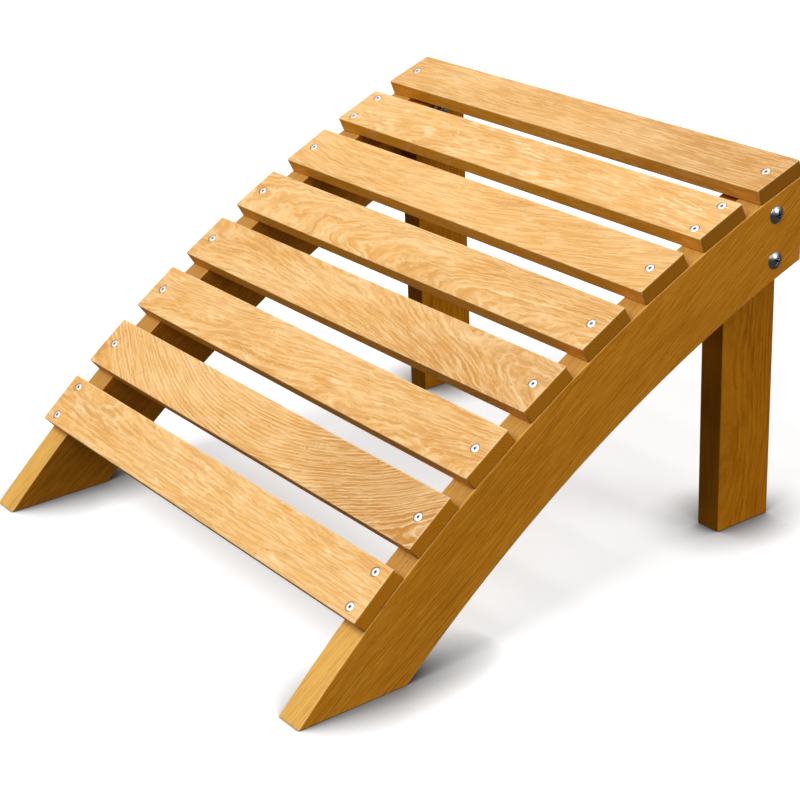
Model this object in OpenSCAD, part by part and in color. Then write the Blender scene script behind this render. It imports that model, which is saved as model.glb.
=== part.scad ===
// Slatted footstool: two curved side rails, eight cross slats, two bolted rear legs.
// +X is to the right, -Y is the low front, +Z is up. Millimetres.
// The origin is on the floor, at the middle of the footprint.

/* [Overall] */
// Width over the outer faces of the two side rails
overall_w = 500; // [300:1:900]
// Depth on the floor plan, from the toe of a rail to its plumb back end
overall_d = 516; // [400:1:680]
// Height of a rail's top edge at its back end
rail_h = 316; // [240:1:400]

/* [Side rails] */
// Thickness of a side rail
rail_t = 27; // [20:0.5:45]
// Depth of a side rail, square to its curve
rail_depth = 69; // [50:1:110]
// Radius of a side rail's curved top edge
rail_r = 1315; // [700:5:4000]

/* [Slats] */
// Width of a slat
slat_w = 50; // [30:0.5:62]
// Thickness of a slat
slat_t = 14.5; // [10:0.5:25]
// Distance that each slat end stands back from the rail's outer face
slat_setback = 0.5; // [0:0.1:5]
// Distance along the rail's top edge from the toe to the middle of the first slat
first_slat = 112.5; // [80:0.5:200]
// Rounding of the slats' long edges
slat_ease = 1.2; // [0.5:0.1:4]
// Depth of the flat that is planed on the rail under each slat
seat_depth = 0.3; // [0.1:0.05:1]

/* [Rear legs] */
// Width of a leg, front to back
leg_w = 60; // [50:1:90]
// Thickness of a leg
leg_t = 25; // [15:0.5:45]
// Distance of a leg's sloping top end below the rail's top edge
leg_drop = 5; // [3:0.5:20]
// Rounding of the legs' upright edges
leg_ease = 1.2; // [0.5:0.1:4]

/* [Slat screws] */
// Distance of the screws from the rail's outer face
screw_inset = 15; // [8:0.5:25]
// Distance between the two screws at an end that has two
twin_spacing = 32; // [14:0.5:40]
// Diameter of a screw's head
screw_head_d = 8; // [6:0.1:10]
// Depth of a screw's countersunk head
screw_head_h = 2.6; // [1.5:0.1:4]
// Distance of a screw's head below the slat's face
screw_sink = 0.2; // [0:0.05:1]
// Diameter of a screw's thread
screw_d = 4; // [3:0.1:5]
// Length of a screw
screw_len = 38; // [30:0.5:50]

/* [Leg bolts] */
// Diameter of a bolt
bolt_d = 6; // [5:0.5:10]
// Length of a bolt that stands past the nut
bolt_past_nut = 1.5; // [0:0.5:8]
// Diameter of a bolt's round head
bolt_head_d = 15; // [12:0.5:24]
// Height of a bolt's round head
bolt_head_h = 3.2; // [2:0.1:6]
// Distance between the two bolts of a leg
bolt_spacing = 39; // [25:1:60]
// Diameter of a washer
washer_d = 16; // [13:0.5:28]
// Thickness of a washer
washer_t = 1.6; // [0.8:0.1:3]
// Width of a nut across its flats
nut_flats = 10; // [8:0.5:18]
// Thickness of a nut
nut_t = 5; // [3:0.1:10]

/* [Clearances] */
// Radial clearance of a screw in its slat and its rail
screw_clear = 0.1; // [0.05:0.05:0.4]
// Radial clearance of a bolt in the rail and the leg
bolt_clear = 0.25; // [0.1:0.05:0.6]
// Radial clearance of a bolt in its washer and its nut
nut_clear = 0.05; // [0.02:0.01:0.2]

/* [Hidden] */
$fn = 64;

SLATS = 8;
TWIN_SLATS = [0, 6];     // the slats that have two screws at each end, counted from 0 at the front
LEFT = -1;
RIGHT = 1;
CUT_PAST = 5;            // how far a cutting solid runs past what it cuts
ROOM = 100;              // how far the trimming box stands clear above the rails
NUT_SIDES = 6;
ARC_SIDES = 720;

WOOD_TOP = "#f0bd73";
WOOD_SIDE = "#a86f24";
ZINC = "#c9cdd2";
DARK_ZINC = "#5b6068";

// The curve of the rails, in the plane of a rail: [y from the toe, z from the floor].
// The top edge is an arc from the toe, on the floor, to the top of the plumb back end.
chord = sqrt(overall_d * overall_d + rail_h * rail_h);
sagitta_arm = sqrt(rail_r * rail_r - chord * chord / 4);
arc_y = overall_d / 2 + sagitta_arm * rail_h / chord;
arc_z = rail_h / 2 - sagitta_arm * overall_d / chord;
toe_angle = atan2(arc_y, -arc_z);
under_r = rail_r - rail_depth;

// Angles on the arc are counted from straight up, towards the front; they are also the slope there.
function arc_point(angle, r) = [arc_y - r * sin(angle), arc_z + r * cos(angle)];
function arc_height(y, r) = arc_z + sqrt(r * r - (arc_y - y) * (arc_y - y));
function arc_degrees(length) = length / rail_r * 180 / PI;

// The slats lie on flats on the top edge. The last one ends flush with the plumb back end.
seat_r = rail_r - seat_depth;
last_angle = asin((arc_y - overall_d) / norm([seat_r, slat_w / 2])) + atan(slat_w / 2 / seat_r);
first_angle = toe_angle - arc_degrees(first_slat);
slat_step = (first_angle - last_angle) / (SLATS - 1);
slat_len = overall_w - 2 * slat_setback;
slat_angles = [for (i = [0:SLATS - 1]) first_angle - i * slat_step];

// The legs stand on the inner faces of the rails, flush with the plumb back end.
rail_in = overall_w / 2 - rail_t;
leg_in = rail_in - leg_t;
leg_y = overall_d - leg_w / 2;
leg_slope = asin((arc_y - leg_y) / rail_r);
bolt_mid_z = (arc_height(leg_y, rail_r) + arc_height(leg_y, under_r)) / 2;
bolt_zs = [bolt_mid_z - bolt_spacing / 2, bolt_mid_z + bolt_spacing / 2];

screw_x = overall_w / 2 - screw_inset;
bolt_len = rail_t + leg_t + washer_t + nut_t + bolt_past_nut;

// The driver recesses: a round one in a screw's head and a cross in a bolt's head.
screw_recess_d = screw_head_d / 4;
screw_recess_depth = screw_head_h / 2;
bolt_recess_len = bolt_head_d / 2;
bolt_recess_w = bolt_head_d / 10;
bolt_recess_depth = bolt_head_h / 2;

// Moves what is drawn with y counted from the toe to the part's own origin.
module from_toe() {
    translate([0, -overall_d / 2, 0])
        children();
}

// Turns a profile in [y, z] to stand square to X and gives it the length len along X from x.
module along_x(x, len) {
    translate([x, 0, 0])
        rotate([90, 0, 90])
            linear_extrude(len)
                children();
}

// Puts what is drawn around its own origin on the slat seat at this angle, with +Z square to it.
module on_seat(angle) {
    p = arc_point(angle, seat_r);
    translate([0, p[0], p[1]])
        rotate([angle, 0, 0])
            children();
}

// A rectangle from the origin with its four corners rounded.
module eased_rect(w, h, r) {
    translate([r, 0])
        square([w - 2 * r, h]);
    translate([0, r])
        square([w, h - 2 * r]);
    for (x = [r, w - r])
        for (y = [r, h - r])
            translate([x, y])
                circle(r);
}

// Offsets along the slat's width of the screws at one end of slat i.
function screw_offsets(i) = len(search(i, TWIN_SLATS)) > 0 ? [-twin_spacing / 2, twin_spacing / 2] : [0];

// Puts a child at each screw of one side: at the middle of the head's face, with +Z out of the wood.
module at_screws(side, slats) {
    for (i = slats)
        for (y = screw_offsets(i))
            on_seat(slat_angles[i])
                translate([side * screw_x, y, slat_t - screw_sink])
                    children();
}

// Puts a child at each bolt of one side: on the rail's outer face, with +Z out of the wood.
module at_bolts(side) {
    for (z = bolt_zs)
        translate([side * overall_w / 2, leg_y, z])
            rotate([0, side * 90, 0])
                children();
}

// The hole for a slat screw: shank, countersink and the way out above the head.
module screw_hole() {
    translate([0, 0, -screw_len - CUT_PAST])
        cylinder(h = screw_len + CUT_PAST, d = screw_d + 2 * screw_clear);
    translate([0, 0, -screw_head_h])
        cylinder(h = screw_head_h, d1 = screw_d, d2 = screw_head_d);
    cylinder(h = screw_sink + CUT_PAST, d = screw_head_d);
}

module slat_screw() {
    point_len = screw_d;
    point_d = screw_d / 4;
    difference() {
        union() {
            translate([0, 0, -screw_head_h])
                cylinder(h = screw_head_h, d1 = screw_d, d2 = screw_head_d);
            translate([0, 0, point_len - screw_len])
                cylinder(h = screw_len - point_len, d = screw_d);
            translate([0, 0, -screw_len])
                cylinder(h = point_len, d1 = point_d, d2 = screw_d);
        }
        translate([0, 0, -screw_recess_depth])
            cylinder(h = screw_recess_depth + CUT_PAST, d = screw_recess_d);
    }
}

module bolt() {
    dome_r = (bolt_head_d * bolt_head_d / 4 + bolt_head_h * bolt_head_h) / (2 * bolt_head_h);
    difference() {
        union() {
            intersection() {
                translate([0, 0, bolt_head_h - dome_r])
                    sphere(dome_r);
                cylinder(h = bolt_head_h + CUT_PAST, d = bolt_head_d);
            }
            translate([0, 0, -bolt_len])
                cylinder(h = bolt_len, d = bolt_d);
        }
        for (turn = [0, 90])
            rotate([0, 0, turn])
                translate([-bolt_recess_len / 2, -bolt_recess_w / 2, bolt_head_h - bolt_recess_depth])
                    cube([bolt_recess_len, bolt_recess_w, bolt_recess_depth + CUT_PAST]);
    }
}

module washer() {
    translate([0, 0, -rail_t - leg_t - washer_t])
        difference() {
            cylinder(h = washer_t, d = washer_d);
            translate([0, 0, -CUT_PAST])
                cylinder(h = washer_t + 2 * CUT_PAST, d = bolt_d + 2 * nut_clear);
        }
}

module nut() {
    translate([0, 0, -rail_t - leg_t - washer_t - nut_t])
        difference() {
            cylinder(h = nut_t, d = nut_flats / cos(180 / NUT_SIDES), $fn = NUT_SIDES);
            translate([0, 0, -CUT_PAST])
                cylinder(h = nut_t + 2 * CUT_PAST, d = bolt_d + 2 * nut_clear);
        }
}

// A bolt's hole through the rail and the leg.
module bolt_hole() {
    translate([0, 0, -rail_t - leg_t - CUT_PAST])
        cylinder(h = rail_t + leg_t + 2 * CUT_PAST, d = bolt_d + 2 * bolt_clear);
}

// The side of a rail in [y, z]: a band of a ring, cut off level on the floor and plumb at the back
// end, with a flat for each slat planed on its top edge.
module rail_side() {
    difference() {
        intersection() {
            translate([arc_y, arc_z])
                difference() {
                    circle(rail_r, $fn = ARC_SIDES);
                    circle(under_r, $fn = ARC_SIDES);
                }
            translate([-ROOM, 0])
                square([overall_d + ROOM, rail_h + ROOM]);
        }
        for (angle = slat_angles)
            translate(arc_point(angle, seat_r))
                rotate(angle)
                    translate([-slat_w / 2, 0])
                        square([slat_w, CUT_PAST]);
    }
}

module rail(side) {
    inner_x = side > 0 ? rail_in : -overall_w / 2;
    from_toe()
        difference() {
            along_x(inner_x, rail_t)
                rail_side();
            at_screws(side, [0:SLATS - 1])
                screw_hole();
            at_bolts(side)
                bolt_hole();
        }
}

// Slat i, counted from 0 at the front.
module slat(i) {
    from_toe()
        difference() {
            on_seat(slat_angles[i])
                translate([0, -slat_w / 2, 0])
                    along_x(-slat_len / 2, slat_len)
                        eased_rect(slat_w, slat_t, slat_ease);
            for (side = [LEFT, RIGHT])
                at_screws(side, [i])
                    screw_hole();
        }
}

// An upright board with its top end cut parallel to the rail's edge there.
module leg(side) {
    top = arc_point(leg_slope, rail_r - leg_drop);
    inner_x = side > 0 ? leg_in : -rail_in;
    from_toe()
        difference() {
            translate([inner_x, overall_d - leg_w, 0])
                linear_extrude(rail_h)
                    eased_rect(leg_t, leg_w, leg_ease);
            translate([inner_x - CUT_PAST, top[0], top[1]])
                rotate([leg_slope, 0, 0])
                    translate([0, -ROOM, 0])
                        cube([leg_t + 2 * CUT_PAST, 2 * ROOM, ROOM]);
            at_bolts(side)
                bolt_hole();
        }
}

module slat_screws(side) {
    from_toe()
        at_screws(side, [0:SLATS - 1])
            slat_screw();
}

module leg_bolts(side) {
    from_toe()
        at_bolts(side)
            bolt();
}

module bolt_washers(side) {
    from_toe()
        at_bolts(side)
            washer();
}

module bolt_nuts(side) {
    from_toe()
        at_bolts(side)
            nut();
}

module rail_left() { color(WOOD_SIDE) rail(LEFT); }
module rail_right() { color(WOOD_SIDE) rail(RIGHT); }
module slat_1() { color(WOOD_TOP) slat(0); }
module slat_2() { color(WOOD_TOP) slat(1); }
module slat_3() { color(WOOD_TOP) slat(2); }
module slat_4() { color(WOOD_TOP) slat(3); }
module slat_5() { color(WOOD_TOP) slat(4); }
module slat_6() { color(WOOD_TOP) slat(5); }
module slat_7() { color(WOOD_TOP) slat(6); }
module slat_8() { color(WOOD_TOP) slat(7); }
module leg_left() { color(WOOD_SIDE) leg(LEFT); }
module leg_right() { color(WOOD_SIDE) leg(RIGHT); }
module slat_screws_left() { color(ZINC) slat_screws(LEFT); }
module slat_screws_right() { color(ZINC) slat_screws(RIGHT); }
module leg_bolts_left() { color(DARK_ZINC) leg_bolts(LEFT); }
module leg_bolts_right() { color(DARK_ZINC) leg_bolts(RIGHT); }
module bolt_washers_left() { color(ZINC) bolt_washers(LEFT); }
module bolt_washers_right() { color(ZINC) bolt_washers(RIGHT); }
module bolt_nuts_left() { color(ZINC) bolt_nuts(LEFT); }
module bolt_nuts_right() { color(ZINC) bolt_nuts(RIGHT); }

rail_left();
rail_right();
slat_1();
slat_2();
slat_3();
slat_4();
slat_5();
slat_6();
slat_7();
slat_8();
leg_left();
leg_right();
slat_screws_left();
slat_screws_right();
leg_bolts_left();
leg_bolts_right();
bolt_washers_left();
bolt_washers_right();
bolt_nuts_left();
bolt_nuts_right();
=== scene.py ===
"""Looks of a slatted garden footstool: boards, fixings, finishes, floor, lights and camera.

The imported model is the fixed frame. Every board and every fixing is made again here with rounded
edges and a procedural finish, in metres, and stands for its node in the frame.
+X is to the right, -Y is the low front and +Z is up.
"""

import logging
import math
from dataclasses import dataclass, field
from enum import Enum
from typing import Any, Callable, Iterable, Mapping, Sequence, Union

import bmesh
import bpy
from mathutils import Euler, Matrix, Vector


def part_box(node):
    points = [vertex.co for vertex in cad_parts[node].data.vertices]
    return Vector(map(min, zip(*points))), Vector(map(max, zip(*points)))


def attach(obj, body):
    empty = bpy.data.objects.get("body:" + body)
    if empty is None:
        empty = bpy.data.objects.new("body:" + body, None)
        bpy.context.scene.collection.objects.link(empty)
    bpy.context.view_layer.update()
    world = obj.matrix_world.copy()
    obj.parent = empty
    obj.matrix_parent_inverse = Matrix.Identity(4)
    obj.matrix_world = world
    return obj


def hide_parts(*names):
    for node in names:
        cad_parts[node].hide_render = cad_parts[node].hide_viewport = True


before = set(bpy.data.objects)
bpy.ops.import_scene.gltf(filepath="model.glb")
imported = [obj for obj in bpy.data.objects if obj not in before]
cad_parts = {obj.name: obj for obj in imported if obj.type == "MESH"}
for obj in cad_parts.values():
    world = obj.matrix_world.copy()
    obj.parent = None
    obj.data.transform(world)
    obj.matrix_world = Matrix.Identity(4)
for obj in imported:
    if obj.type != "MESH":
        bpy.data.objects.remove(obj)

LOG = logging.getLogger("footstool")
ROOT = "root"
MM = 0.001
# The mark for a painted highlight on rounded edges; below 0 it is painted shade.
PAINTED_EDGE_MARK = "worn_edge"
SHADED = "shaded"
SMOOTH_LIMIT = math.radians(34)
TONES = ("Body", "Dark", "Pale", "Narrow", "End", "Worn")
MASKS = ("Dark", "Pale", "Wisp", "Fleck", "Tone", "Fibre", "Deep")
SURFACE = {"Color": "Colour", "Float": "Roughness, Height"}
WHITE = (1.0, 1.0, 1.0)
# Near black, for the painted shade in the recesses and round the rims of the fixings.
RECESS_SHADE = (0.012, 0.010, 0.008)
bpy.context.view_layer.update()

Socket = bpy.types.NodeSocket
Triple = tuple[float, float, float]


class Side(Enum):
    """The two sides of the footstool, with the sign of X on each."""

    LEFT = -1
    RIGHT = 1

    @property
    def word(self) -> str:
        """The side's name as the nodes of the frame spell it."""
        return self.name.lower()


class Outline(Enum):
    """The outline that a ring of a turned piece follows."""

    ROUND = "round"
    STAR = "star"
    CROSS = "cross"
    HEXAGON = "hexagon"


# ---------------------------------------------------------------- node writing


def sign(operation: str, turned_round: bool = False) -> Callable[["Value", "Feed"], "Value"]:
    """Return the method behind one sign of arithmetic, such as +.

    Args:
        operation: The operation of the Math node, or of the Vector Math node for vectors.
        turned_round: Whether the value stands to the right of the sign.

    Returns:
        A method for Value.
    """

    def method(self: "Value", other: "Feed") -> "Value":
        """Add the node and return its result."""
        pair = (other, self) if turned_round else (self, other)
        kinds = [value.socket.type if isinstance(value, Value) else type(value) for value in pair]
        write = self.graph.vector if "VECTOR" in kinds or tuple in kinds else self.graph.math
        return write(operation, *pair)

    return method


@dataclass(frozen=True)
class Value:
    """A node's output in a tree that is being written, with the usual signs of arithmetic."""

    graph: "Graph"
    socket: Socket

    __add__, __radd__ = sign("ADD"), sign("ADD", True)
    __sub__, __rsub__ = sign("SUBTRACT"), sign("SUBTRACT", True)
    __mul__, __rmul__ = sign("MULTIPLY"), sign("MULTIPLY", True)
    __truediv__ = sign("DIVIDE")


def in_use(sockets: Sequence[Socket], key: str | int) -> Socket:
    """Return the socket at a number or name, or the one of its name that the node's data type uses."""
    found = sockets[key]
    return found if found.enabled else next(s for s in sockets if s.name == found.name and s.enabled)


Feed = Union[Value, float, int, bool, str, Sequence[float], bpy.types.ID]
Feeds = Mapping[Union[str, int], Feed]


@dataclass
class Graph:
    """A node tree that is being written, with short calls for the nodes it uses most."""

    tree: bpy.types.NodeTree

    def node(self, kind: str, feeds: Feeds | None = None, **settings: Any) -> bpy.types.Node:
        """Add a node.

        Args:
            kind: The node's type name.
            feeds: What goes into its inputs, by name or number.
            settings: Properties of the node, such as its operation.

        Returns:
            The new node.
        """
        made = self.tree.nodes.new(kind)
        for name, value in settings.items():
            setattr(made, name, value)
        for key, value in (feeds or {}).items():
            target = in_use(made.inputs, key)
            if isinstance(value, Value):
                self.tree.links.new(value.socket, target)
            else:
                target.default_value = value
        return made

    def out(self, kind: str, feeds: Feeds | None = None, output: str | int = 0, **settings: Any) -> Value:
        """Add a node and return one of its outputs, by name or number."""
        return Value(self, in_use(self.node(kind, feeds, **settings).outputs, output))

    def math(self, operation: str, *feeds: Feed, clamp: bool = False) -> Value:
        """Add a Math node and return its result."""
        return self.out("ShaderNodeMath", dict(enumerate(feeds)), operation=operation, use_clamp=clamp)

    def vector(self, operation: str, *feeds: Feed) -> Value:
        """Add a Vector Math node and return its result, a number for a dot product or a length."""
        output = "Value" if operation in ("DOT_PRODUCT", "LENGTH") else "Vector"
        return self.out("ShaderNodeVectorMath", dict(enumerate(feeds)), output, operation=operation)

    def scaled(self, value: Feed, factor: Feed) -> Value:
        """Return a vector times a number."""
        return self.out("ShaderNodeVectorMath", {0: value, "Scale": factor}, "Vector", operation="SCALE")

    def xyz(self, x: Feed, y: Feed, z: Feed) -> Value:
        """Return a vector made of three numbers."""
        return self.out("ShaderNodeCombineXYZ", {0: x, 1: y, 2: z})

    def parts(self, value: Value) -> list[Value]:
        """Return the three numbers of a vector."""
        made = self.node("ShaderNodeSeparateXYZ", {0: value})
        return [Value(self, socket) for socket in made.outputs]

    def ramp(self, value: Feed, low: Feed, high: Feed) -> Value:
        """Return 0 below low, 1 above high, and a smooth rise between them."""
        feeds = {"Value": value, "From Min": low, "From Max": high}
        return self.out("ShaderNodeMapRange", feeds, interpolation_type="SMOOTHSTEP")

    def between(self, factor: Feed, low: Feed, high: Feed) -> Value:
        """Return a number that goes from low to high with the factor."""
        return self.out("ShaderNodeMix", {0: factor, 2: low, 3: high}, data_type="FLOAT")

    def blend(self, factor: Feed, first: Feed, second: Feed, kind: str = "MIX") -> Value:
        """Return two colours mixed by the factor."""
        feeds = {0: factor, 6: first, 7: second}
        return self.out("ShaderNodeMix", feeds, 2, data_type="RGBA", blend_type=kind)

    def noise(self, place: Feed, scale: float, detail: float = 2.0, rough: float = 0.5) -> Value:
        """Return a noise value around 0.5 at a place."""
        feeds = {"Vector": place, "Scale": scale, "Detail": detail, "Roughness": rough}
        return self.out("ShaderNodeTexNoise", feeds)

    def answers(self, kind: str, feeds: Feeds | None = None, **settings: Any) -> dict[str, Value]:
        """Add a node and return all of its outputs by name."""
        return {socket.name: Value(self, socket) for socket in self.node(kind, feeds, **settings).outputs}

    def shade(self, feeds: Feeds, kind: str = "ShaderNodeBsdfPrincipled", end: str = "Material") -> None:
        """End a material, or a world, with a shader whose inputs are given."""
        self.node("ShaderNodeOutput" + end, {"Surface": self.out(kind, feeds)})

    def surface(self, group: bpy.types.NodeTree, feeds: Feeds, rise: float, strength: float) -> Feeds:
        """Return what a shader takes from a group with the outputs Colour, Roughness and Height.

        Args:
            group: The group.
            feeds: What goes into the group's inputs.
            rise: The height of its bumps, in metres.
            strength: How strongly the bumps show.

        Returns:
            The shader's inputs.
        """
        look = self.answers("ShaderNodeGroup", feeds, node_tree=group)
        bump = self.out("ShaderNodeBump", {"Height": look["Height"], "Strength": strength, "Distance": rise})
        return {"Base Color": look["Colour"], "Roughness": look["Roughness"], "Normal": bump}


@dataclass
class Group(Graph):
    """A node group that is being written, with its own named inputs and outputs."""

    inside: bpy.types.Node = field(init=False)
    outside: bpy.types.Node = field(init=False)

    @classmethod
    def start(cls, name: str, kind: str, inputs: Mapping[str, str], outputs: Mapping[str, str]) -> "Group":
        """Make an empty group.

        Args:
            name: The group's name.
            kind: ShaderNodeTree or GeometryNodeTree.
            inputs: For each socket type, without "NodeSocket", the names of its inputs with commas.
            outputs: The same for the outputs.

        Returns:
            The group, ready for nodes.
        """
        group = cls(bpy.data.node_groups.new(name, kind))
        for way, sockets in (("INPUT", inputs), ("OUTPUT", outputs)):
            for socket, labels in sockets.items():
                for label in labels.split(", "):
                    group.tree.interface.new_socket(label, in_out=way, socket_type="NodeSocket" + socket)
        group.inside = group.tree.nodes.new("NodeGroupInput")
        group.outside = group.tree.nodes.new("NodeGroupOutput")
        return group

    def __getitem__(self, name: str) -> Value:
        """Return the value of one of the group's inputs."""
        return Value(self, self.inside.outputs[name])

    def give(self, name: str, value: Value) -> None:
        """Send a result to one of the group's outputs."""
        self.tree.links.new(value.socket, self.outside.inputs[name])


def opaque(colour: Iterable[float]) -> tuple[float, ...]:
    """Return a colour with its alpha."""
    return (*colour, 1.0)


def new_tree(owner: bpy.types.Material | bpy.types.World) -> Graph:
    """Return the empty node tree of a material or a world."""
    owner.use_nodes = True
    owner.node_tree.nodes.clear()
    return Graph(owner.node_tree)


def placed(name: str, data: bpy.types.ID) -> bpy.types.Object:
    """Put a mesh, a light or a camera in the scene, at the origin."""
    made = bpy.data.objects.new(name, data)
    bpy.context.scene.collection.objects.link(made)
    return made


def smoothed(name: str, mesh: bpy.types.Mesh) -> bpy.types.Object:
    """Put a mesh in the scene, shaded smoothly but for its sharp edges."""
    mesh.shade_smooth()
    mesh.set_sharp_from_angle(angle=SMOOTH_LIMIT)
    return placed(name, mesh)


def settled(name: str, tree: bpy.types.NodeTree, values: Mapping[str, Any]) -> bpy.types.Object:
    """Run a geometry tree once and keep what it makes as a plain mesh.

    Args:
        name: The new object's name.
        tree: The geometry tree.
        values: The value for each of its named inputs.

    Returns:
        An object with a plain mesh, at the origin and with no modifier.
    """
    holder = placed(name + "_holder", bpy.data.meshes.new(name + "_holder"))
    modifier = holder.modifiers.new("make", "NODES")
    modifier.node_group = tree
    for item in tree.interface.items_tree:
        if item.item_type == "SOCKET" and item.in_out == "INPUT":
            modifier[item.identifier] = values[item.name]
    graph = bpy.context.evaluated_depsgraph_get()
    mesh = bpy.data.meshes.new_from_object(holder.evaluated_get(graph))
    holder.modifiers.remove(modifier)
    bpy.data.objects.remove(holder)
    mesh.name = name
    return smoothed(name, mesh)


# ---------------------------------------------------------------- turned pieces


@dataclass(frozen=True)
class Ring:
    """One ring of a turned piece, in millimetres.

    A ring on a dome follows the dome's ball, whose top is at the ring's height. A shaded ring is
    painted near black: painted shade in recesses and round rims.
    """

    radius: float
    height: float
    outline: Outline = Outline.ROUND
    roundness: float = 0.0
    dome: float = 0.0
    shaded: float = 0.0

    def reach(self, angle: float) -> float:
        """Return the distance from the axis to the ring in one direction."""
        cos, sin = abs(math.cos(angle)), abs(math.sin(angle))
        if self.outline is Outline.STAR:
            shaped = self.radius * (1 + 0.17 * math.cos(6 * angle))
        elif self.outline is Outline.CROSS:
            arm = 0.19 * self.radius
            along = min(self.radius / max(cos, 1e-6), arm / max(sin, 1e-6))
            across = min(arm / max(cos, 1e-6), self.radius / max(sin, 1e-6))
            shaped = max(along, across)
        elif self.outline is Outline.HEXAGON:
            sixth = math.radians(60)
            shaped = self.radius / math.cos((angle % sixth) - sixth / 2)
        else:
            shaped = self.radius
        return shaped + (self.radius - shaped) * self.roundness

    def place(self, angle: float) -> Vector:
        """Return the ring's point in one direction, in metres."""
        reach = self.reach(angle)
        drop = self.dome - math.sqrt(self.dome**2 - reach**2) if self.dome else 0.0
        return Vector((reach * math.cos(angle), reach * math.sin(angle), self.height - drop)) * MM


def turned(name: str, rings: Sequence[Ring], sides: int, ring_shaped: bool = False) -> bpy.types.Object:
    """Make a piece as a lathe does, from rings that run from its top to its bottom.

    Args:
        name: The new object's name.
        rings: The rings. One of radius 0 is a pole.
        sides: The number of points around a ring.
        ring_shaped: Whether the last ring joins the first, as on a washer.

    Returns:
        The piece, around its own Z axis.
    """
    shape = bmesh.new()
    rows = []
    recess_shade = []
    for ring in rings:
        count = 1 if ring.radius == 0 else sides
        rows.append([shape.verts.new(ring.place(math.tau * i / sides)) for i in range(count)])
        recess_shade += [ring.shaded] * count
    pairs = list(zip(rows, rows[1:])) + ([(rows[-1], rows[0])] if ring_shaped else [])
    for upper, lower in pairs:
        for i in range(sides):
            corners = [upper[i % len(upper)], lower[i % len(lower)]]
            corners += [lower[(i + 1) % len(lower)], upper[(i + 1) % len(upper)]]
            shape.faces.new(list(dict.fromkeys(corners)))
    bmesh.ops.recalc_face_normals(shape, faces=shape.faces)
    mesh = bpy.data.meshes.new(name)
    shape.to_mesh(mesh)
    shape.free()
    mesh.attributes.new(SHADED, "FLOAT", "POINT").data.foreach_set("value", recess_shade)
    return smoothed(name, mesh)


# ---------------------------------------------------------------- geometry trees


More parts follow.
